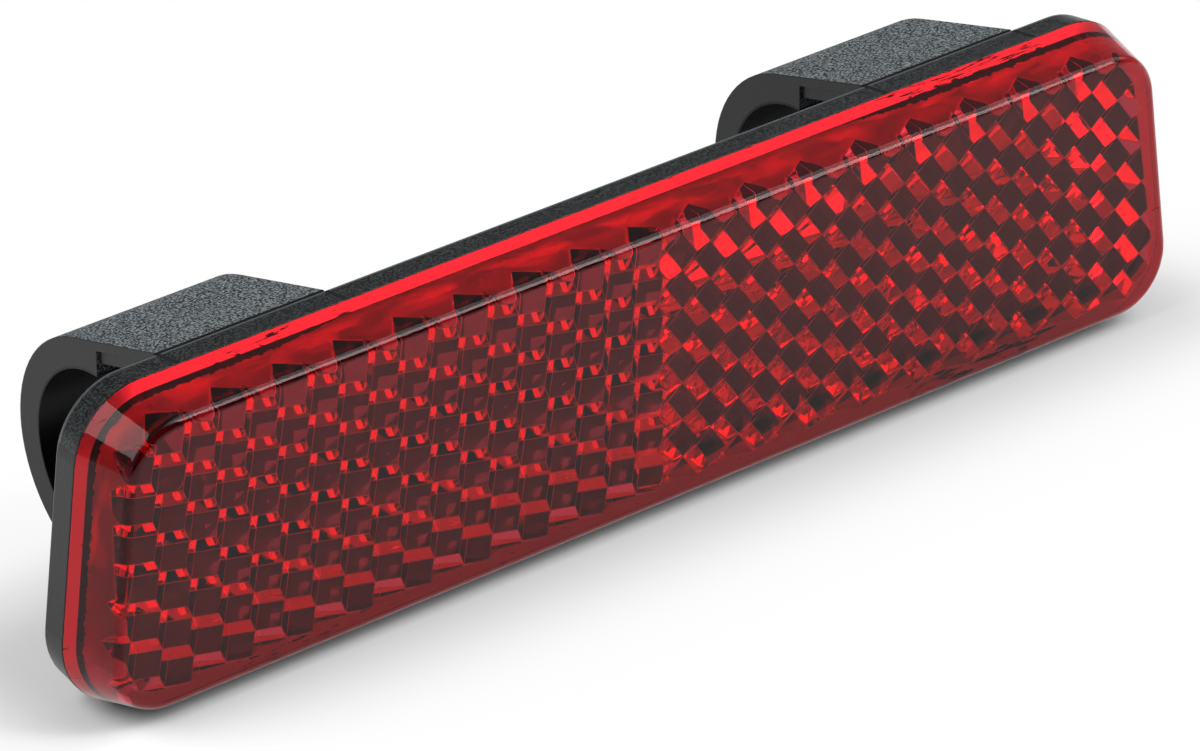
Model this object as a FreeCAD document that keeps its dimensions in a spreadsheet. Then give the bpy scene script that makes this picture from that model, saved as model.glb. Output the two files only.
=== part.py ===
# Bicycle rack reflector: a red lens with corner-cube prisms, welded to a black back plate with tube clips.
# Frame: X along the rack tube, Y to the rear, Z up, in millimetres. The origin is on the tube's axis, midway
# between the clips. The lens looks towards -Y.
import FreeCAD, Part
import enum
import math
import os
import Sketcher

# Driving sizes: name, value, meaning. Lengths in millimetres, angles in degrees.
SIZES = [
    ("face_height", 18.0, "height of the lens front face"),
    ("face_length", 78.9, "length of the lens front face at mid height"),
    ("end_lean", 7.1, "lean of the two ends, so that the lower edge is the longer one"),
    ("face_corner", 3.62, "corner radius of the front face"),
    ("lens_depth", 3.95, "front face to the front of the back plate"),
    ("lens_draft", 14.5, "slope of the lens walls"),
    ("edge_round", 0.58, "rounding of the front edge"),
    ("skirt_wall", 1.4, "width of the lens rim"),
    ("hollow_draft", 8.5, "slope of the hollow's walls"),
    ("face_wall", 0.5, "thickness of the lens front wall at the bottom of the prisms"),
    ("rim_gap", 0.08, "gap that the weld leaves between rim and plate"),
    ("prism_flats", 2.495, "width across flats of one hexagonal prism pin"),
    ("prism_root", 0.1, "depth to which the pins are rooted in the front wall"),
    ("plate_thick", 2.18, "thickness of the back plate"),
    ("plate_draft", 7.7, "slope of the back plate's edge"),
    ("plate_round", 0.3, "rounding of the back plate's rear edge"),
    ("rib_height", 0.6, "height of the plate's weld rib, which fills the foot of the hollow"),
    ("rib_width", 0.4, "width of the weld rib"),
    ("tube_dia", 12.0, "rack tube diameter, which is the bore of the clips"),
    ("axis_drop", 0.22, "tube axis below the lens's mid height"),
    ("clip_spacing", 52.7, "distance between the middles of the two clips"),
    ("clip_width", 11.9, "length of a clip along the tube"),
    ("clip_wall", 1.86, "wall of a clip behind the tube"),
    ("clip_rise", 0.1, "rise of the outer arc's centre, which thins the wall towards the lip"),
    ("arm_slope", 15.7, "fall of a clip's top towards the rear"),
    ("arm_thick", 1.42, "thickness of the arm between plate and hook"),
    ("arm_skin", 0.6, "full-width skin on top of the arm"),
    ("arm_inset", 0.19, "how far the arm's web stands back from the clip's sides"),
    ("hook_start", 0.16, "where the hook's bore starts, in front of the tube's top"),
    ("wrap_angle", 52.0, "how far the hook reaches below the tube's axis at the rear"),
    ("root_overlap", 0.5, "how far an arm is rooted in the back plate"),
]

# Lengths worked out from the driving sizes, as expressions
BORE_RADIUS = "Sizes.tube_dia / 2"
PLATE_REAR = BORE_RADIUS
PLATE_FRONT = f"({PLATE_REAR} + Sizes.plate_thick)"
RIM_FRONT = f"({PLATE_FRONT} + Sizes.rim_gap)"
RIM_DEPTH = "(Sizes.lens_depth - Sizes.rim_gap)"
PLATE_GROWTH = "Sizes.lens_depth * tan(Sizes.lens_draft)"
RIM_GROWTH = f"{RIM_DEPTH} * tan(Sizes.lens_draft)"
HOLLOW_GROWTH = f"({RIM_GROWTH} - Sizes.skirt_wall)"
RIB_GROWTH = f"({HOLLOW_GROWTH} + Sizes.rim_gap * tan(Sizes.hollow_draft))"
OUTER_RADIUS = "(Sizes.tube_dia / 2 + Sizes.clip_wall)"


class Place(enum.IntEnum):
    """A sketch's numbers for the points of a curve."""

    START = 1
    END = 2
    MIDDLE = 3


class Axis(enum.IntEnum):
    """A sketch's numbers for its own two axes. The first one starts at the origin."""

    ORIGIN = -1
    UPRIGHT = -2


START, END, MIDDLE = Place
ORIGIN, UPRIGHT = Axis

# Steps from a prism pin to its six neighbours, in columns and half pitches, from the upper right anticlockwise
NEIGHBOURS = [(1, 1), (0, 2), (-1, 1), (-1, -1), (0, -2), (1, -1)]

# Two points closer than this are in the same place
SAME_PLACE = 1e-4


def make_sheet(doc):
    """Puts the driving sizes into a spreadsheet, one alias for each."""
    sheet = doc.addObject("Spreadsheet::Sheet", "Sizes")
    for row, (name, value, meaning) in enumerate(SIZES, start=1):
        sheet.set(f"A{row}", meaning)
        sheet.set(f"B{row}", str(value))
        sheet.setAlias(f"B{row}", name)
    doc.recompute()
    return sheet


def origin_plane(body, role):
    return next(plane for plane in body.Origin.OriginFeatures if plane.Role == role)


def new_sketch(body, name, role, offset, rise="0"):
    """Makes a sketch on one of the body's planes, moved along its normal and upwards."""
    sketch = body.newObject("Sketcher::SketchObject", name)
    sketch.AttachmentSupport = (origin_plane(body, role), [""])
    sketch.MapMode = "FlatFace"
    sketch.setExpression("AttachmentOffset.Base.z", offset)
    sketch.setExpression("AttachmentOffset.Base.y", rise)
    return sketch


def front_sketch(body, name, distance):
    """Makes a sketch that faces the front, at a distance in front of the tube's axis."""
    return new_sketch(body, name, "XZ_Plane", distance, "Sizes.axis_drop")


def drive(sketch, expression, *constraint):
    """Adds a dimension to a sketch and ties it to an expression."""
    value = float(sketch.evalExpression(expression))
    kind = constraint[0]
    datum = math.radians(value) if kind == "Angle" else value
    index = sketch.addConstraint(Sketcher.Constraint(*constraint, datum))
    unit = " * 1 deg" if kind == "Angle" else " * 1 mm"
    sketch.setExpression(f"Constraints[{index}]", f"({expression}){unit}")


def relate(sketch, *constraint):
    sketch.addConstraint(Sketcher.Constraint(*constraint))


def line(sketch, start, end, construction=False):
    ends = [FreeCAD.Vector(*point, 0) for point in (start, end)]
    return sketch.addGeometry(Part.LineSegment(*ends), construction)


def arc(sketch, middle, radius, start, end):
    """Adds an arc that runs anticlockwise between two angles in degrees."""
    circle = Part.Circle(FreeCAD.Vector(*middle, 0), FreeCAD.Vector(0, 0, 1), radius)
    return sketch.addGeometry(Part.ArcOfCircle(circle, math.radians(start), math.radians(end)))


def lens_outline(sketch, growth):
    """Draws the front face's outline, a trapezium with round corners, grown by a distance on all sides."""
    height = f"(Sizes.face_height + 2 * ({growth}))"
    length = f"(Sizes.face_length + 2 * ({growth}) / cos(Sizes.end_lean))"
    corner = f"(Sizes.face_corner + {growth})"
    top = float(sketch.evalExpression(height)) / 2
    middle = float(sketch.evalExpression(length)) / 2
    radius = float(sketch.evalExpression(corner))
    lean = float(sketch.evalExpression("Sizes.end_lean"))
    slant = math.radians(lean)

    def corner_centre(z):
        return middle - z * math.tan(slant) - radius / math.cos(slant)

    level = top - radius
    low = corner_centre(-level)
    high = corner_centre(level)
    reach = radius * math.cos(slant)
    lift = radius * math.sin(slant)
    bottom_line = line(sketch, (-low, -top), (low, -top))
    right_line = line(sketch, (low + reach, -level + lift), (high + reach, level + lift))
    top_line = line(sketch, (high, top), (-high, top))
    left_line = line(sketch, (-high - reach, level + lift), (-low - reach, -level + lift))
    lower_right = arc(sketch, (low, -level), radius, -90, lean)
    upper_right = arc(sketch, (high, level), radius, lean, 90)
    upper_left = arc(sketch, (-high, level), radius, 90, 180 - lean)
    lower_left = arc(sketch, (-low, -level), radius, 180 - lean, 270)
    ring = [bottom_line, lower_right, right_line, upper_right, top_line, upper_left, left_line, lower_left]
    for index, edge in enumerate(ring):
        relate(sketch, "Tangent", edge, END, ring[(index + 1) % len(ring)], START)
    for edge in (upper_right, upper_left, lower_left):
        relate(sketch, "Equal", lower_right, edge)
    for edge in (bottom_line, top_line):
        relate(sketch, "Symmetric", edge, START, edge, END, UPRIGHT)
    waist = sketch.addGeometry(Part.Point(FreeCAD.Vector(middle, 0, 0)), True)
    relate(sketch, "PointOnObject", waist, START, right_line)
    relate(sketch, "PointOnObject", waist, START, ORIGIN)
    drive(sketch, corner, "Radius", lower_right)
    drive(sketch, f"{height} / 2", "DistanceY", ORIGIN, START, top_line, START)
    drive(sketch, f"{height} / 2", "DistanceY", bottom_line, START, ORIGIN, START)
    drive(sketch, f"{length} / 2", "DistanceX", ORIGIN, START, waist, START)
    drive(sketch, "90 + Sizes.end_lean", "Angle", right_line)


def extrude(body, kind, name, sketch, length, taper="0", back=False, both_ways=False):
    """Pads or pockets a sketch by a length, with a wall slope."""
    feature = body.newObject(f"PartDesign::{kind}", name)
    feature.Profile = (sketch, [""])
    feature.Reversed = back
    feature.SideType = "Symmetric" if both_ways else "One side"
    feature.setExpression("Length", length)
    feature.setExpression("TaperAngle", taper)
    sketch.Document.recompute()
    return feature


def round_edges_at(body, name, base, y, radius):
    """Rounds the edges of a feature that lie in one plane across Y."""
    names = []
    for index, edge in enumerate(base.Shape.Edges, start=1):
        if all(abs(vertex.Y - y) < SAME_PLACE for vertex in edge.Vertexes):
            names.append(f"Edge{index}")
    fillet = body.newObject("PartDesign::Fillet", name)
    fillet.Base = (base, names)
    fillet.setExpression("Radius", radius)
    body.Document.recompute()
    return fillet


def make_lens_cup(doc, face_y):
    """The lens without its prisms: a sloping block, hollow at the rear."""
    body = doc.addObject("PartDesign::Body", "lens_cup")
    rim = front_sketch(body, "rim_outline", RIM_FRONT)
    lens_outline(rim, RIM_GROWTH)
    block = extrude(body, "Pad", "block", rim, RIM_DEPTH, "-Sizes.lens_draft")
    round_edges_at(body, "front_edge", block, face_y, "Sizes.edge_round")
    hollow = front_sketch(body, "hollow_outline", RIM_FRONT)
    lens_outline(hollow, HOLLOW_GROWTH)
    depth = f"{RIM_DEPTH} - Sizes.face_wall + Sizes.prism_root / 2"
    extrude(body, "Pocket", "hollow", hollow, depth, "-Sizes.hollow_draft", back=True)
    return body, hollow


def hexagon(x, z, radius):
    """The six corners of a pin seen from the front, from the right-hand one anticlockwise."""
    angles = [math.radians(60 * corner) for corner in range(6)]
    return [(x + radius * math.cos(angle), z + radius * math.sin(angle)) for angle in angles]


def pin_faces(x, z, pitch, tip_y, root_y, first, bare_sides):
    """The faces of one hexagonal pin that ends in a cube corner.

    Every second corner of the hexagon, from the first, lies on a cube edge that comes down from the tip.
    Only the bare sides have a face, because the other pins cover the rest.
    """
    step = pitch / math.sqrt(6)
    corners = hexagon(x, z, pitch / math.sqrt(3))
    rim = []
    for index, (px, pz) in enumerate(corners):
        drop = step if index % 2 == first else 2 * step
        rim.append(FreeCAD.Vector(px, tip_y - drop, pz))
    root = [FreeCAD.Vector(px, root_y, pz) for px, pz in corners]
    tip = FreeCAD.Vector(x, tip_y, z)
    loops = [root]
    for index in range(first, 6 + first, 2):
        loops.append([tip, rim[index % 6], rim[(index + 1) % 6], rim[(index + 2) % 6]])
    for index in bare_sides:
        following = (index + 1) % 6
        loops.append([rim[index], rim[following], root[following], root[index]])
    return [Part.Face(Part.makePolygon(loop + loop[:1])) for loop in loops]


def make_prism_field(doc, sheet, name, side, face_y, hollow):
    """One half of the prisms: hexagonal pins in staggered columns, which fill the hollow and run into its walls.

    side is -1 for the left half and 1 for the right one, whose cube corners are turned by half a turn.
    """
    pitch = sheet.prism_flats
    column = pitch * math.cos(math.radians(30))
    trough_y = face_y + sheet.face_wall
    root_y = trough_y - sheet.prism_root
    tip_y = trough_y + 2 * pitch / math.sqrt(6)
    outline = Part.Face(hollow.Shape.Wires)
    box = outline.BoundBox
    rows = math.ceil(box.ZLength / 2 / pitch) + 1
    columns = math.ceil(box.XLength / 2 / column) + 1
    numbers = range(columns) if side > 0 else range(-columns, 0)
    pins = {(number, 2 * row + (number + 1) % 2) for number in numbers for row in range(-rows, rows)}
    first = 0 if side < 0 else 1
    faces = []
    for number, half_rows in sorted(pins):
        x = (number + 0.5) * column
        z = sheet.axis_drop + (half_rows + 0.5) * pitch / 2
        bare_sides = [index for index, (across, up) in enumerate(NEIGHBOURS)
                      if (number + across, half_rows + up) not in pins]
        faces += pin_faces(x, z, pitch, tip_y, root_y, first, bare_sides)
    shell = Part.makeCompound(faces)
    shell.sewShape()
    outline.translate(FreeCAD.Vector(0, root_y - box.YMin, 0))
    bounds = outline.extrude(FreeCAD.Vector(0, tip_y - root_y + pitch, 0))
    field = doc.addObject("Part::Feature", name)
    field.Shape = Part.Solid(shell.Shells[0]).common(bounds)
    return field


def make_lens(doc, sheet):
    face_y = -float(sheet.evalExpression(PLATE_FRONT)) - sheet.lens_depth
    cup, hollow = make_lens_cup(doc, face_y)
    left = make_prism_field(doc, sheet, "left_prisms", -1, face_y, hollow)
    right = make_prism_field(doc, sheet, "right_prisms", 1, face_y, hollow)
    lens = doc.addObject("Part::MultiFuse", "lens")
    lens.Shapes = [cup, left, right]
    lens.Refine = True
    return lens


def draw_hook(sketch):
    """The side view of a clip's hook and of the skin on its arm, about the tube's axis."""
    bore = float(sketch.evalExpression(BORE_RADIUS))
    outer = float(sketch.evalExpression(OUTER_RADIUS))
    rise = float(sketch.evalExpression("Sizes.clip_rise"))
    slope = float(sketch.evalExpression("Sizes.arm_slope"))
    wrap = float(sketch.evalExpression("Sizes.wrap_angle"))
    skin = float(sketch.evalExpression("Sizes.arm_skin"))
    front = -float(sketch.evalExpression("Sizes.hook_start"))
    plate = -float(sketch.evalExpression(PLATE_REAR))
    root = plate - float(sketch.evalExpression("Sizes.root_overlap"))
    fall = math.radians(slope)

    def arm_height(y, below):
        return rise + (outer - below - y * math.sin(fall)) / math.cos(fall)

    lip = math.radians(-wrap)
    lip_wall = outer + rise * math.sin(lip) - bore
    lip_reach = bore + lip_wall / 2
    lip_middle = (lip_reach * math.cos(lip), lip_reach * math.sin(lip))
    touch = (outer * math.sin(fall), rise + outer * math.cos(fall))
    bore_top = (front, math.sqrt(bore ** 2 - front ** 2))
    skin_end = (front, arm_height(front, skin))
    skin_root = (plate, arm_height(plate, skin))
    buried = (root, skin_root[1])
    top_root = (plate, arm_height(plate, 0))
    top = line(sketch, top_root, touch)
    back = arc(sketch, (0, rise), outer, -wrap, 90 - slope)
    tip = arc(sketch, lip_middle, lip_wall / 2, 180 - wrap, 360 - wrap)
    inner = arc(sketch, (0, 0), bore, -wrap, math.degrees(math.atan2(bore_top[1], bore_top[0])))
    heel = line(sketch, bore_top, skin_end)
    under = line(sketch, skin_end, skin_root)
    inward = line(sketch, skin_root, buried)
    closing = line(sketch, buried, top_root)
    spoke = line(sketch, (0, 0), (bore * math.cos(lip), bore * math.sin(lip)), construction=True)
    relate(sketch, "Tangent", top, END, back, END)
    relate(sketch, "Tangent", back, START, tip, END)
    relate(sketch, "Tangent", tip, START, inner, START)
    relate(sketch, "Coincident", inner, END, heel, START)
    for edge, following in ((heel, under), (under, inward), (inward, closing), (closing, top)):
        relate(sketch, "Coincident", edge, END, following, START)
    relate(sketch, "Coincident", inner, MIDDLE, ORIGIN, START)
    relate(sketch, "Coincident", spoke, START, ORIGIN, START)
    relate(sketch, "Coincident", spoke, END, inner, START)
    relate(sketch, "PointOnObject", back, MIDDLE, UPRIGHT)
    relate(sketch, "Parallel", top, under)
    relate(sketch, "Vertical", heel)
    relate(sketch, "Vertical", top, START, under, END)
    relate(sketch, "Horizontal", inward)
    drive(sketch, BORE_RADIUS, "Radius", inner)
    drive(sketch, OUTER_RADIUS, "Radius", back)
    drive(sketch, "Sizes.clip_rise", "DistanceY", ORIGIN, START, back, MIDDLE)
    drive(sketch, "-Sizes.arm_slope", "Angle", top)
    drive(sketch, "-Sizes.wrap_angle", "Angle", spoke)
    drive(sketch, "Sizes.arm_skin", "Distance", under, END, top)
    drive(sketch, "Sizes.hook_start", "DistanceX", inner, END, ORIGIN, START)
    drive(sketch, PLATE_REAR, "DistanceX", top, START, ORIGIN, START)
    drive(sketch, "Sizes.root_overlap", "DistanceX", inward, END, inward, START)


def draw_web(sketch):
    """The side view of the arm under its skin, from inside the back plate to inside the hook."""
    outer = float(sketch.evalExpression(OUTER_RADIUS))
    rise = float(sketch.evalExpression("Sizes.clip_rise"))
    fall = math.radians(float(sketch.evalExpression("Sizes.arm_slope")))
    root = f"({PLATE_REAR} + Sizes.root_overlap)"
    reach = "(Sizes.root_overlap - Sizes.hook_start)"
    front = -float(sketch.evalExpression(root))
    rear = float(sketch.evalExpression(reach))

    def height(y, below):
        return rise + (outer - below - y * math.sin(fall)) / math.cos(fall)

    upper = float(sketch.evalExpression("Sizes.arm_skin")) / 2
    lower = float(sketch.evalExpression("Sizes.arm_thick"))
    corners = [(front, height(front, lower)), (rear, height(rear, lower)),
               (rear, height(rear, upper)), (front, height(front, upper))]
    edges = [line(sketch, corners[index], corners[(index + 1) % 4]) for index in range(4)]
    bottom, back, top, inside = edges
    middle = sketch.addGeometry(Part.Point(FreeCAD.Vector(0, rise, 0)), True)
    for index in range(4):
        relate(sketch, "Coincident", edges[index], END, edges[(index + 1) % 4], START)
    relate(sketch, "Vertical", back)
    relate(sketch, "Vertical", inside)
    relate(sketch, "Parallel", bottom, top)
    relate(sketch, "PointOnObject", middle, START, UPRIGHT)
    drive(sketch, "Sizes.clip_rise", "DistanceY", ORIGIN, START, middle, START)
    drive(sketch, "-Sizes.arm_slope", "Angle", bottom)
    drive(sketch, f"{OUTER_RADIUS} - Sizes.arm_thick", "Distance", middle, START, bottom)
    drive(sketch, f"{OUTER_RADIUS} - Sizes.arm_skin / 2", "Distance", middle, START, top)
    drive(sketch, root, "DistanceX", bottom, START, ORIGIN, START)
    drive(sketch, reach, "DistanceX", ORIGIN, START, bottom, END)


def make_back_plate(doc, sheet):
    """The black moulding: the plate that closes the lens, its weld rib, and the two clips behind it."""
    body = doc.addObject("PartDesign::Body", "back_plate")
    outline = front_sketch(body, "plate_outline", PLATE_FRONT)
    lens_outline(outline, PLATE_GROWTH)
    plate = extrude(body, "Pad", "plate", outline, "Sizes.plate_thick", "-Sizes.plate_draft", back=True)
    rear_y = -float(sheet.evalExpression(PLATE_REAR))
    round_edges_at(body, "rear_edge", plate, rear_y, "Sizes.plate_round")
    rib = front_sketch(body, "rib_outline", PLATE_FRONT)
    for inset in ("0", "Sizes.rib_width"):
        lens_outline(rib, f"{RIB_GROWTH} - {inset}")
    extrude(body, "Pad", "weld_rib", rib, "Sizes.rib_height", "-Sizes.hollow_draft")
    clip_x = "Sizes.clip_spacing / 2"
    hook_view = new_sketch(body, "hook_view", "YZ_Plane", clip_x)
    draw_hook(hook_view)
    hook = extrude(body, "Pad", "hook", hook_view, "Sizes.clip_width", both_ways=True)
    web_view = new_sketch(body, "web_view", "YZ_Plane", clip_x)
    draw_web(web_view)
    web_width = "Sizes.clip_width - 2 * Sizes.arm_inset"
    web = extrude(body, "Pad", "web", web_view, web_width, both_ways=True)
    clips = body.newObject("PartDesign::Mirrored", "clips")
    clips.Originals = [hook, web]
    clips.MirrorPlane = (origin_plane(body, "YZ_Plane"), [""])
    body.Tip = clips
    doc.recompute()
    return body


def check(doc, pieces):
    """Stops if an object of the document failed or a piece isn't one good solid."""
    for item in doc.Objects:
        if "Invalid" in item.State or "Error" in item.State:
            raise RuntimeError(f"{item.Name} failed: {item.State}")
    for piece in pieces:
        if piece.Shape.isNull() or not piece.Shape.isValid() or len(piece.Shape.Solids) != 1:
            raise RuntimeError(f"{piece.Label} is not one valid solid")


def main():
    doc = FreeCAD.newDocument("rack_reflector")
    sheet = make_sheet(doc)
    pieces = [make_lens(doc, sheet), make_back_plate(doc, sheet)]
    doc.recompute()
    check(doc, pieces)
    os.makedirs("parts", exist_ok=True)
    for piece in pieces:
        piece.Shape.exportStep(f"parts/{piece.Label}.step")
        box = piece.Shape.BoundBox
        print(piece.Label, "volume", round(piece.Shape.Volume, 2), "faces", len(piece.Shape.Faces), box)


main()
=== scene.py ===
# Bicycle rack reflector: the finish of its clear red lens and its black back plate, on a pale studio floor.
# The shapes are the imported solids. Sizes are in metres, apart from those whose heading says millimetres.
import math

import bpy
from bpy.props import FloatProperty, FloatVectorProperty, PointerProperty
from bpy.types import Operator, Panel, PropertyGroup
from mathutils import Matrix, Vector


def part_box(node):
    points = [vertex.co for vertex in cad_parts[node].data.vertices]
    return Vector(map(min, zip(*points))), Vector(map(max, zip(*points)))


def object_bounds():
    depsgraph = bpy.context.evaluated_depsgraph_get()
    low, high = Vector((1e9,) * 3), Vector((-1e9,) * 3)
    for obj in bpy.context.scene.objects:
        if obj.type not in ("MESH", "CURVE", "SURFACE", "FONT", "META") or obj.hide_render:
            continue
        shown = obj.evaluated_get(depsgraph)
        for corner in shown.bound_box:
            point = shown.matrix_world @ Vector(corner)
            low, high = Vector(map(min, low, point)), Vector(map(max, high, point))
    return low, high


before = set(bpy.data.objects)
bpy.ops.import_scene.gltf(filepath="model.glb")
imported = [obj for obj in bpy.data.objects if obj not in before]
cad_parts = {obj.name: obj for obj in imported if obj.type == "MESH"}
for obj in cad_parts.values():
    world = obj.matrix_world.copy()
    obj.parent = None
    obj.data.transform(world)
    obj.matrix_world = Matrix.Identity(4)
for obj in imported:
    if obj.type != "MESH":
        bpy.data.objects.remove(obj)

bl_info = {
    "name": "Rack reflector finish",
    "version": (1, 0, 0),
    "blender": (4, 5, 0),
    "location": "View3D > Sidebar > Reflector",
    "description": "Gives a bicycle rack reflector its lens, its back plate and a studio floor",
    "category": "Material",
}

CAD_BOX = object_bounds()
MILLIMETRES = 1000

# Places on the lens, in millimetres. Growth is how far a place lies outside the front face's outline.
FRONT_Y = CAD_BOX[0].y * MILLIMETRES
RIM_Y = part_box("lens")[1].y * MILLIMETRES
FLOOR_Y = FRONT_Y + 0.5
WELD_Y = RIM_Y - 0.52
MID_HEIGHT = 0.22
HALF_LENGTH = 39.45
HALF_HEIGHT = 9.0
CORNER = 3.62
END_LEAN = math.radians(7.1)
HOLLOW_SLOPE = math.tan(math.radians(8.5))
HOLLOW_GROWTH = -0.399
PRISM_GROWTH = HOLLOW_GROWTH - 0.2
RIM_MARGIN = 0.002
WALL_MARGIN = 0.04
FACE_MARGIN = 0.02

# Where the weld is narrow and where it tore, in millimetres along the lens: a soft start and a soft end
NARROW_WELD = ((-27.0, -20.0), (15.0, 23.0))
RIGHT_TEAR = ((18.0, 22.0), (31.0, 35.0))
LEFT_TEAR = ((-31.0, -29.0), (-20.0, -17.0))

# Soft edges in millimetres: of the weld, of the painted shade on the wall below the rim and of the clouds in
# front of the rim
WELD_EDGE = (0.02, 0.12)
PAINTED_SHADE_EDGE = (0.1, 1.1)
CLOUD_DEPTH = (FLOOR_Y + 0.6, WELD_Y)

# Soft edges in the noise, and in the turn of a prism's rounded edge
CREEP_EDGE = (0.62, 0.66)
STREAK_EDGE = (0.68, 0.72)
CLOUD_EDGE = (0.35, 0.62)
SPARKLE_EDGE = (0.4, 0.65)
ARRIS_EDGE = (0.01, 0.1)

# Slopes of the frosted rim and wall, and the height of the clouds' relief in millimetres
RIM_SLANT = -1.9
WALL_SLANT = 0.3
CLOUD_RELIEF = 0.09

# Places on the back plate and its clips, in millimetres
PLATE_FRONT_Y = -8.18
PLATE_REAR_Y = -6.0
BAND_END_Y = PLATE_REAR_Y + 0.15
HIGHLIGHT_EDGE_Y = PLATE_REAR_Y - 0.3
HIGHLIGHT_HALF_WIDTH = 0.08
CLIP_MIDDLE = 26.35
CLIP_HALF_WIDTH = 5.95
BORE_RADIUS = 6.15
CROSS_GROOVE = 0.17
REAR_CREVICE_SHADE = 0.16
FLAT_SIDE = 0.95

# Grains of noise per millimetre along each axis
CLOUD_GRAINS = (0.35, 0.8, 0.35)
RAGGED_GRAINS = (1.6, 1.6, 1.6)
STREAK_GRAINS = (0.6, 1.0, 4.5)
SPARK_GRAINS = (6.5, 6.5, 6.5)

# Floor, in millimetres: half the depth of the darkest shadow, and the width over which it fades
SHADOW_HALF_DEPTH = 6.0
SHADOW_FADE = 10.0

# Room: the range of directions to the front and to the rear over which its light fades
ROOM_SIDES = ((-0.65, -0.35), (0.55, 0.85))
ROOM_ENDS = (0.04, 0.04, 0.04, 1)

# Lamps: direction, distance and size
LEFT_SOFTBOX = ((-0.64, 0.26, 0.72), 0.9, (0.66, 0.66))
RIGHT_SOFTBOX = ((0.583, -0.355, 0.73), 1.0, (0.83, 0.95))
EDGE_SOFTBOX = ((0.553, -0.62, 0.555), 0.98, (0.21, 0.85))

# Camera: its place, its angles in radians, and its lens and sensor in millimetres
CAMERA_PLACE = (-0.248814, -0.313216, 0.212512)
CAMERA_AZIMUTH = math.radians(38.988)
CAMERA_ELEVATION = math.radians(28.5701)
CAMERA_ROLL = math.radians(-0.4911)
FOCAL_LENGTH = 227.25
SENSOR_WIDTH = 36
NEAREST = 0.01
BOUNCES = 24


class Shade:
    """A socket of a shader. Python's operators on it add Math nodes to its tree."""

    def __init__(self, socket):
        self.socket = socket

    def add(self, kind, settings, sockets, output=0):
        """Adds a node: its settings first, then the values or links of its sockets."""
        tree = self.socket.id_data
        node = tree.nodes.new(kind)
        for name, value in settings.items():
            setattr(node, name, value)
        for key, value in sockets.items():
            if isinstance(value, Shade):
                tree.links.new(value.socket, node.inputs[key])
            else:
                node.inputs[key].default_value = value
        return Shade(node.outputs[output])

    def math(self, operation, *operands):
        return self.add("ShaderNodeMath", {"operation": operation}, dict(enumerate(operands)))

    def __add__(self, other):
        return self.math("ADD", self, other)

    __radd__ = __add__

    def __sub__(self, other):
        return self.math("SUBTRACT", self, other)

    def __rsub__(self, other):
        return self.math("SUBTRACT", other, self)

    def __mul__(self, other):
        return self.math("MULTIPLY", self, other)

    __rmul__ = __mul__

    def __lt__(self, other):
        return self.math("LESS_THAN", self, other)

    def __gt__(self, other):
        return self.math("GREATER_THAN", self, other)

    def __or__(self, other):
        return self.math("MAXIMUM", self, other)

    __ror__ = __or__

    def __abs__(self):
        return self.math("ABSOLUTE", self)

    def fade(self, start, end):
        """Goes softly from 0 to 1 as the value goes from start to end."""
        sockets = {"Value": self, "From Min": start, "From Max": end}
        return self.add("ShaderNodeMapRange", {"interpolation_type": "SMOOTHSTEP"}, sockets)

    def within(self, start, end):
        """Goes softly from 0 to 1 over the first range and back to 0 over the second."""
        return self.fade(*start) * (1 - self.fade(*end))

    def between(self, first, second):
        """Mixes two colours, with this value as the factor."""
        sockets = {0: self, 6: first, 7: second}
        return self.add("ShaderNodeMix", {"data_type": "RGBA"}, sockets, output=2)

    def turn(self, first, second):
        """Mixes two directions, with this value as the factor."""
        sockets = {0: self, 4: first, 5: second}
        return self.add("ShaderNodeMix", {"data_type": "VECTOR"}, sockets, output=1)

    def dot(self, other):
        """How alike this direction and another one are, from -1 to 1."""
        settings = {"operation": "DOT_PRODUCT"}
        return self.add("ShaderNodeVectorMath", settings, {0: self, 1: other}, output="Value")

    def noise(self, grains, detail, roughness=0.5):
        """Noise at this place, which is a vector in metres, with so many grains per millimetre."""
        scale = [number * MILLIMETRES for number in grains]
        place = self.add("ShaderNodeVectorMath", {"operation": "MULTIPLY"}, {0: self, 1: scale})
        sockets = {"Vector": place, "Scale": 1.0, "Detail": detail, "Roughness": roughness}
        return self.add("ShaderNodeTexNoise", {}, sockets)

    def axis(self, name):
        """One coordinate of this vector."""
        return self.add("ShaderNodeSeparateXYZ", {}, {0: self}, output=name)

    def axes(self, names="XYZ"):
        """The coordinates of this place, which is a vector in metres, in millimetres."""
        return [self.axis(name) * MILLIMETRES for name in names]


def new_material(name):
    """Makes an empty material. Returns it, its output's surface socket and the place on the object."""
    material = bpy.data.materials.new(name)
    material.use_nodes = True
    nodes = material.node_tree.nodes
    nodes.remove(nodes["Principled BSDF"])
    surface = nodes["Material Output"].inputs["Surface"]
    return material, surface, Shade(surface).add("ShaderNodeTexCoord", {}, {}, output="Object")


def join(shade, socket):
    socket.id_data.links.new(shade.socket, socket)


def dress(node, material):
    """Gives a CAD node its material."""
    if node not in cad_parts:
        raise RuntimeError(f"the frame has no node named {node}")
    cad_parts[node].data.materials[0] = material


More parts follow.
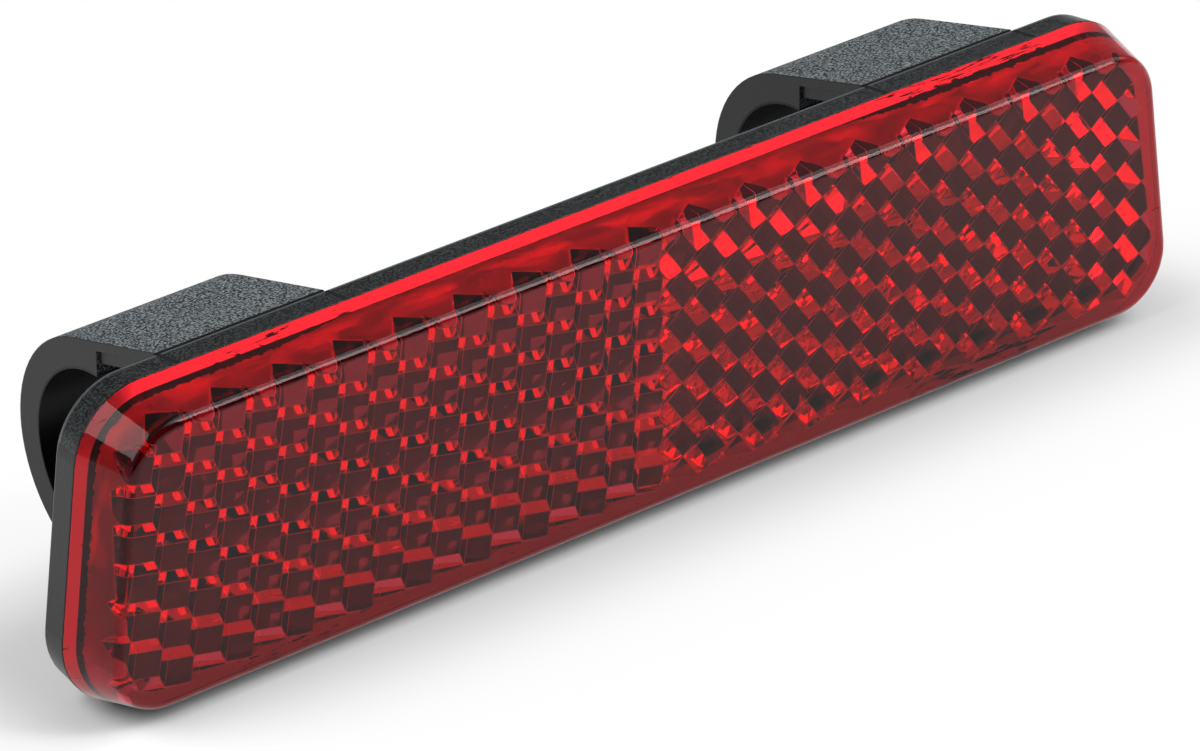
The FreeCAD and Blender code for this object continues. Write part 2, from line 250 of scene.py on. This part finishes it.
class LensLook(PropertyGroup):
    """The lens's finish."""

    acrylic: FloatVectorProperty(
        name="Acrylic", description="Colour of light that has passed through the clear red acrylic",
        subtype="COLOR", size=4, default=(0.95, 0.045, 0.08, 1))
    frost: FloatVectorProperty(
        name="Frost", description="Colour of the frosted rim",
        subtype="COLOR", size=4, default=(0.95, 0.32, 0.32, 1))
    cloud: FloatVectorProperty(
        name="Cloud", description="Colour of the light clouds in the skirt's inner wall",
        subtype="COLOR", size=4, default=(0.95, 0.1, 0.1, 1))
    # The weld's colour also paints the shade on the wall below the rim
    weld: FloatVectorProperty(
        name="Weld", description="Colour of the black plastic that the weld has smeared into the rim",
        subtype="COLOR", size=4, default=(0.012, 0.006, 0.006, 1))
    refraction: FloatProperty(
        name="Refraction", description="Index of refraction of the acrylic", default=1.49, min=1.0, max=2.0)
    rounding: FloatProperty(
        name="Rounding", description="Rounding of the prisms' edges", unit="LENGTH", precision=6,
        default=0.00007)


class PlateLook(PropertyGroup):
    """The back plate's finish."""

    black: FloatVectorProperty(
        name="Black", description="Colour of the black plastic",
        subtype="COLOR", size=4, default=(0.007, 0.0073, 0.0075, 1))
    # The grains' colour is partly the texture and partly painted sheen, and also paints the highlight along
    # the plate's rear edge
    grain_and_sheen: FloatVectorProperty(
        name="Sparkle", description="Colour of the highest grains of the spark-eroded texture",
        subtype="COLOR", size=4, default=(0.21, 0.24, 0.254, 1))
    rounding: FloatProperty(
        name="Rounding", description="Rounding of the plate's and clips' edges", unit="LENGTH", precision=6,
        default=0.00012)
    relief: FloatProperty(
        name="Relief", description="Height of the spark-eroded texture", unit="LENGTH", precision=6,
        default=0.00012)


class StageLook(PropertyGroup):
    """The floor, the room and the lamps."""

    floor: FloatVectorProperty(
        name="Floor", description="Colour of the floor",
        subtype="COLOR", size=4, default=(0.88, 0.88, 0.88, 1))
    room: FloatVectorProperty(
        name="Room", description="Colour of the light from the room",
        subtype="COLOR", size=4, default=(0.33, 0.33, 0.33, 1))
    floor_size: FloatProperty(
        name="Floor size", description="Length of the floor's sides", unit="LENGTH", default=4.0)
    left: FloatProperty(name="Left lamp", description="Brightness of the softbox on the left", default=4.2)
    right: FloatProperty(name="Right lamp", description="Brightness of the softbox on the right", default=2.1)
    edge: FloatProperty(
        name="Edge lamp", description="Brightness of the strip that lights the lens's edge", default=8.0)


def outline_growth(x, z):
    """How far a place lies outside the front face's outline, in millimetres. It is negative inside."""
    rise = z - MID_HEIGHT
    above = (abs(rise) - (HALF_HEIGHT - CORNER)) | 0.0
    beside = ((abs(x) - HALF_LENGTH) * math.cos(END_LEAN) + rise * math.sin(END_LEAN) + CORNER) | 0.0
    lean = rise.math("SIGN", rise) * math.sin(END_LEAN)
    square = above * above + beside * beside - 2 * lean * above * beside
    square = square * (1 / math.cos(END_LEAN) ** 2)
    return square.math("SQRT", square) - CORNER


class REFLECTOR_OT_lens(Operator):
    """Makes the lens clear red acrylic, frosted on its rim and inside its skirt"""

    bl_idname = "reflector.lens"
    bl_label = "Finish the lens"

    def execute(self, context):
        look = context.scene.reflector_lens
        material, surface, place = new_material("clear_red_acrylic")
        x, y, z = place.axes()
        growth = outline_growth(x, z)

        # The rim, the skirt's inner wall and the prisms
        from_rim = RIM_Y - y
        rim = y > RIM_Y - RIM_MARGIN
        hollow = HOLLOW_GROWTH - from_rim * HOLLOW_SLOPE
        wall = (abs(growth - hollow) < WALL_MARGIN) * (y > FLOOR_Y) * (1 - rim)
        prisms = (y > FLOOR_Y - FACE_MARGIN) * (growth < PRISM_GROWTH)

        # Black plastic that the weld has squeezed along the wall and smeared over the rim, and painted shade
        # on the wall below the rim
        cloud = place.noise(CLOUD_GRAINS, detail=3.0)
        ragged = place.noise(RAGGED_GRAINS, detail=3.0, roughness=0.65)
        streak = place.noise(STREAK_GRAINS, detail=3.0, roughness=0.6)
        squeezed = 1 - x.within(*NARROW_WELD)
        depth = from_rim - (ragged - 0.5) * (0.15 + 0.6 * squeezed)
        weld = (1 - (depth - 0.5 * squeezed).fade(*WELD_EDGE)) * wall
        torn = x.within(*RIGHT_TEAR) * 0.16 + x.within(*LEFT_TEAR) * 0.08
        creep = (ragged + torn - (growth - HOLLOW_GROWTH) * 0.6).fade(*CREEP_EDGE) * squeezed
        smear = ((streak + torn).fade(*STREAK_EDGE) | creep) * rim
        # Painted shade: the wall darkens towards the rim, most where the weld is narrow
        shade = (1 - from_rim.fade(*PAINTED_SHADE_EDGE)) * wall * (0.75 - 0.6 * squeezed)
        seam_colour = rim.between(tuple(look.cloud), tuple(look.frost))
        # The weld's black covers the weld and the smear, and paints the shade on the wall
        seam_colour = (weld | smear | shade).between(seam_colour, tuple(look.weld))

        # Clear acrylic, with a small rounding on the prisms' edges
        sharp = place.add("ShaderNodeNewGeometry", {}, {}, output="Normal")
        rounded = place.add("ShaderNodeBevel", {"samples": 4}, {"Radius": look.rounding})
        arris = (1 - sharp.dot(rounded)).fade(*ARRIS_EDGE) * prisms
        clear = place.add("ShaderNodeBsdfPrincipled", {}, {
            "Base Color": tuple(look.acrylic), "Roughness": wall * (0.3 + 0.35 * cloud),
            "IOR": look.refraction, "Specular Tint": (0.42, 0.42, 0.42, 1), "Transmission Weight": 1.0,
            "Normal": prisms.turn(sharp, rounded)})

        # Frosted seam, which slants so that it catches the light from above
        height = rim * growth * RIM_SLANT + wall * (y * WALL_SLANT + cloud * CLOUD_RELIEF)
        slant = place.add("ShaderNodeBump", {}, {
            "Height": height, "Strength": 1.0, "Distance": 1 / MILLIMETRES})
        seam = place.add("ShaderNodeBsdfPrincipled", {}, {
            "Base Color": seam_colour, "Roughness": 0.4, "Metallic": 0.7, "Normal": slant})

        # The seam covers the rim and the weld, and shows in part on the prisms' edges and on the cloudy wall
        upper = 0.35 + 0.65 * (z > MID_HEIGHT)
        frosted = 0.1 + 0.6 * cloud.fade(*CLOUD_EDGE) * y.fade(*CLOUD_DEPTH)
        opaque = rim | weld | arris * 0.7 | wall * upper * frosted
        join(place.add("ShaderNodeMixShader", {}, {0: opaque, 1: clear, 2: seam}), surface)
        dress("lens", material)
        return {"FINISHED"}


class REFLECTOR_OT_back_plate(Operator):
    """Makes the back plate and its clips black plastic with a spark-eroded texture"""

    bl_idname = "reflector.back_plate"
    bl_label = "Finish the back plate"

    def execute(self, context):
        look = context.scene.reflector_plate
        material, surface, place = new_material("black_plastic")
        x, y, z = place.axes()
        normal = place.add("ShaderNodeTexCoord", {}, {}, output="Normal")

        # The plate's face inside the lens, its outer band, the clips and their bores
        inside = y < PLATE_FRONT_Y + FACE_MARGIN
        side = abs(normal.axis("X")) > FLAT_SIDE
        # Painted shade: the bores get a metallic black finish that darkens them to near black
        bore_shade = y * y + z * z < BORE_RADIUS ** 2
        clip = (y > BAND_END_Y) * (1 - side) * (1 - bore_shade)
        band = (y < BAND_END_Y) * (1 - side) * (1 - inside)

        # Parting lines across the band beside the clips and painted shade in the crevice behind the band,
        # both on top, and a painted highlight along the plate's rounded rear edge
        beside = abs(abs(x) - CLIP_MIDDLE) - CLIP_HALF_WIDTH
        # The lines across the band are parting lines; the line behind the band is painted shade in the
        # crevice under the clips
        parting_lines_and_shade = (abs(beside) < CROSS_GROOVE) * band | (abs(y - PLATE_REAR_Y) < REAR_CREVICE_SHADE) * (beside < 0)
        parting_lines_and_shade = parting_lines_and_shade * (z > HALF_HEIGHT)
        # Painted highlight: a thin lighter line along the plate's rounded rear edge
        painted_highlight = (abs(y - HIGHLIGHT_EDGE_Y) < HIGHLIGHT_HALF_WIDTH) * band

        # Spark-eroded texture whose grains are painted lighter, which partly paints its sheen: strong on the
        # clips, weak on the band, none in the parting lines and the painted crevice shade. The painted
        # highlight along the rear edge is added to it.
        grain = place.noise(SPARK_GRAINS, detail=1.0)
        speckle_sheen_and_highlight = (grain.fade(*SPARKLE_EDGE) * (0.16 * band + clip) | painted_highlight * 0.35) * (1 - parting_lines_and_shade)
        colour = speckle_sheen_and_highlight.between(tuple(look.black), tuple(look.grain_and_sheen))
        rounded = place.add("ShaderNodeBevel", {"samples": 4}, {"Radius": look.rounding})
        height = grain * (0.15 + 0.85 * clip) * (1 - inside) * (1 - parting_lines_and_shade)
        bump = place.add("ShaderNodeBump", {}, {
            "Height": height, "Strength": 0.6, "Distance": look.relief, "Normal": rounded})
        roughness = (0.3 + 0.3 * clip + 0.1 * grain) * (1 - inside * 0.8) | parting_lines_and_shade
        # Metallic black in the bores paints their shade
        plastic = place.add("ShaderNodeBsdfPrincipled", {}, {
            "Base Color": colour, "Roughness": roughness, "Normal": bump, "Metallic": bore_shade * 0.7,
            "Specular IOR Level": 0.25, "Coat Weight": inside * 0.7, "Coat Roughness": 0.05})
        join(plastic, surface)
        dress("back_plate", material)
        return {"FINISHED"}


def softbox(name, direction, distance, size, radiance):
    """Adds a rectangular lamp that looks at the object from a direction."""
    towards = Vector(direction).normalized()
    lamp = bpy.data.lights.new(name, "AREA")
    lamp.shape = "RECTANGLE"
    lamp.size, lamp.size_y = size
    lamp.energy = radiance * math.pi * math.prod(size)
    holder = bpy.data.objects.new(name, lamp)
    holder.location = towards * distance
    holder.rotation_euler = towards.to_track_quat("Z", "Y").to_euler()
    holder.visible_camera = False
    bpy.context.scene.collection.objects.link(holder)


def lay_floor(look):
    """Lays a pale floor, which is seen as white away from the object's shadow."""
    bpy.ops.mesh.primitive_plane_add(size=look.floor_size, location=(0, 0, CAD_BOX[0].z))
    floor = bpy.context.object
    floor.name = "studio_floor"
    material, surface, place = new_material("pale_floor")
    paper = place.add("ShaderNodeBsdfPrincipled", {}, {
        "Base Color": tuple(look.floor), "Roughness": 1.0, "Specular IOR Level": 0.0})
    white = place.add("ShaderNodeEmission", {}, {"Color": (1, 1, 1, 1), "Strength": 1.0})
    rays = ("Is Camera Ray", "Is Glossy Ray", "Is Transmission Ray")
    camera, glossy, through = (place.add("ShaderNodeLightPath", {}, {}, output=ray) for ray in rays)
    x, y = place.axes("XY")
    away = (abs(x) - HALF_LENGTH) | (abs(y - PLATE_REAR_Y) - SHADOW_HALF_DEPTH) | 0.0
    lifted = camera * 0.8 * away.fade(0.0, SHADOW_FADE) | (glossy | through) * 0.4
    join(place.add("ShaderNodeMixShader", {}, {0: lifted, 1: paper, 2: white}), surface)
    floor.data.materials.append(material)


def light_room(look):
    """Makes the world: soft light from the sides and from above, and little from the front and the rear."""
    world = bpy.data.worlds.new("studio_room")
    world.use_nodes = True
    colour = world.node_tree.nodes["Background"].inputs["Color"]
    direction = Shade(colour).add("ShaderNodeTexCoord", {}, {}, output="Generated")
    around = direction.axis("Y").within(*ROOM_SIDES)
    join(around.between(ROOM_ENDS, tuple(look.room)), colour)
    bpy.context.scene.world = world


def place_camera():
    """Adds the camera at the photo's angle."""
    level = math.cos(CAMERA_ELEVATION)
    forward = Vector((math.sin(CAMERA_AZIMUTH) * level, math.cos(CAMERA_AZIMUTH) * level,
                      -math.sin(CAMERA_ELEVATION)))
    right = Vector((math.cos(CAMERA_AZIMUTH), -math.sin(CAMERA_AZIMUTH), 0))
    up = right.cross(forward)
    across = math.cos(CAMERA_ROLL) * right + math.sin(CAMERA_ROLL) * up
    upwards = math.cos(CAMERA_ROLL) * up - math.sin(CAMERA_ROLL) * right
    pose = Matrix((across, upwards, -forward)).transposed().to_4x4()
    pose.translation = Vector(CAMERA_PLACE)
    lens = bpy.data.cameras.new("photo_camera")
    lens.sensor_fit = "HORIZONTAL"
    lens.sensor_width = SENSOR_WIDTH
    lens.lens = FOCAL_LENGTH
    lens.clip_start = NEAREST
    camera = bpy.data.objects.new("photo_camera", lens)
    camera.matrix_world = pose
    bpy.context.scene.collection.objects.link(camera)
    bpy.context.scene.camera = camera


class REFLECTOR_OT_stage(Operator):
    """Adds the floor, the room, the lamps and the camera"""

    bl_idname = "reflector.stage"
    bl_label = "Set the stage"

    def execute(self, context):
        scene = context.scene
        look = scene.reflector_stage
        lay_floor(look)
        light_room(look)
        softbox("left_softbox", *LEFT_SOFTBOX, look.left)
        softbox("right_softbox", *RIGHT_SOFTBOX, look.right)
        softbox("edge_softbox", *EDGE_SOFTBOX, look.edge)
        place_camera()

        # Light that the lens would throw onto the floor is left out, so that its shadow stays grey
        scene.cycles.caustics_refractive = False
        scene.cycles.max_bounces = BOUNCES
        scene.cycles.glossy_bounces = BOUNCES
        scene.cycles.transmission_bounces = BOUNCES
        scene.view_settings.view_transform = "Standard"
        return {"FINISHED"}


class REFLECTOR_PT_finish(Panel):
    """Lists the reflector's finishes and the operators that make them"""

    bl_idname = "REFLECTOR_PT_finish"
    bl_label = "Rack reflector"
    bl_space_type = "VIEW_3D"
    bl_region_type = "UI"
    bl_category = "Reflector"

    def draw(self, context):
        groups = (
            (context.scene.reflector_lens, REFLECTOR_OT_lens),
            (context.scene.reflector_plate, REFLECTOR_OT_back_plate),
            (context.scene.reflector_stage, REFLECTOR_OT_stage),
        )
        for look, operator in groups:
            box = self.layout.box()
            for name in look.bl_rna.properties.keys():
                if name not in PropertyGroup.bl_rna.properties:
                    box.prop(look, name)
            box.operator(operator.bl_idname)


CLASSES = (LensLook, PlateLook, StageLook, REFLECTOR_OT_lens, REFLECTOR_OT_back_plate, REFLECTOR_OT_stage,
           REFLECTOR_PT_finish)


def register():
    for item in CLASSES:
        bpy.utils.register_class(item)
    bpy.types.Scene.reflector_lens = PointerProperty(type=LensLook)
    bpy.types.Scene.reflector_plate = PointerProperty(type=PlateLook)
    bpy.types.Scene.reflector_stage = PointerProperty(type=StageLook)


def unregister():
    del bpy.types.Scene.reflector_stage
    del bpy.types.Scene.reflector_plate
    del bpy.types.Scene.reflector_lens
    for item in reversed(CLASSES):
        bpy.utils.unregister_class(item)


def main():
    register()
    bpy.ops.reflector.lens()
    bpy.ops.reflector.back_plate()
    bpy.ops.reflector.stage()


if __name__ == "__main__":
    main()
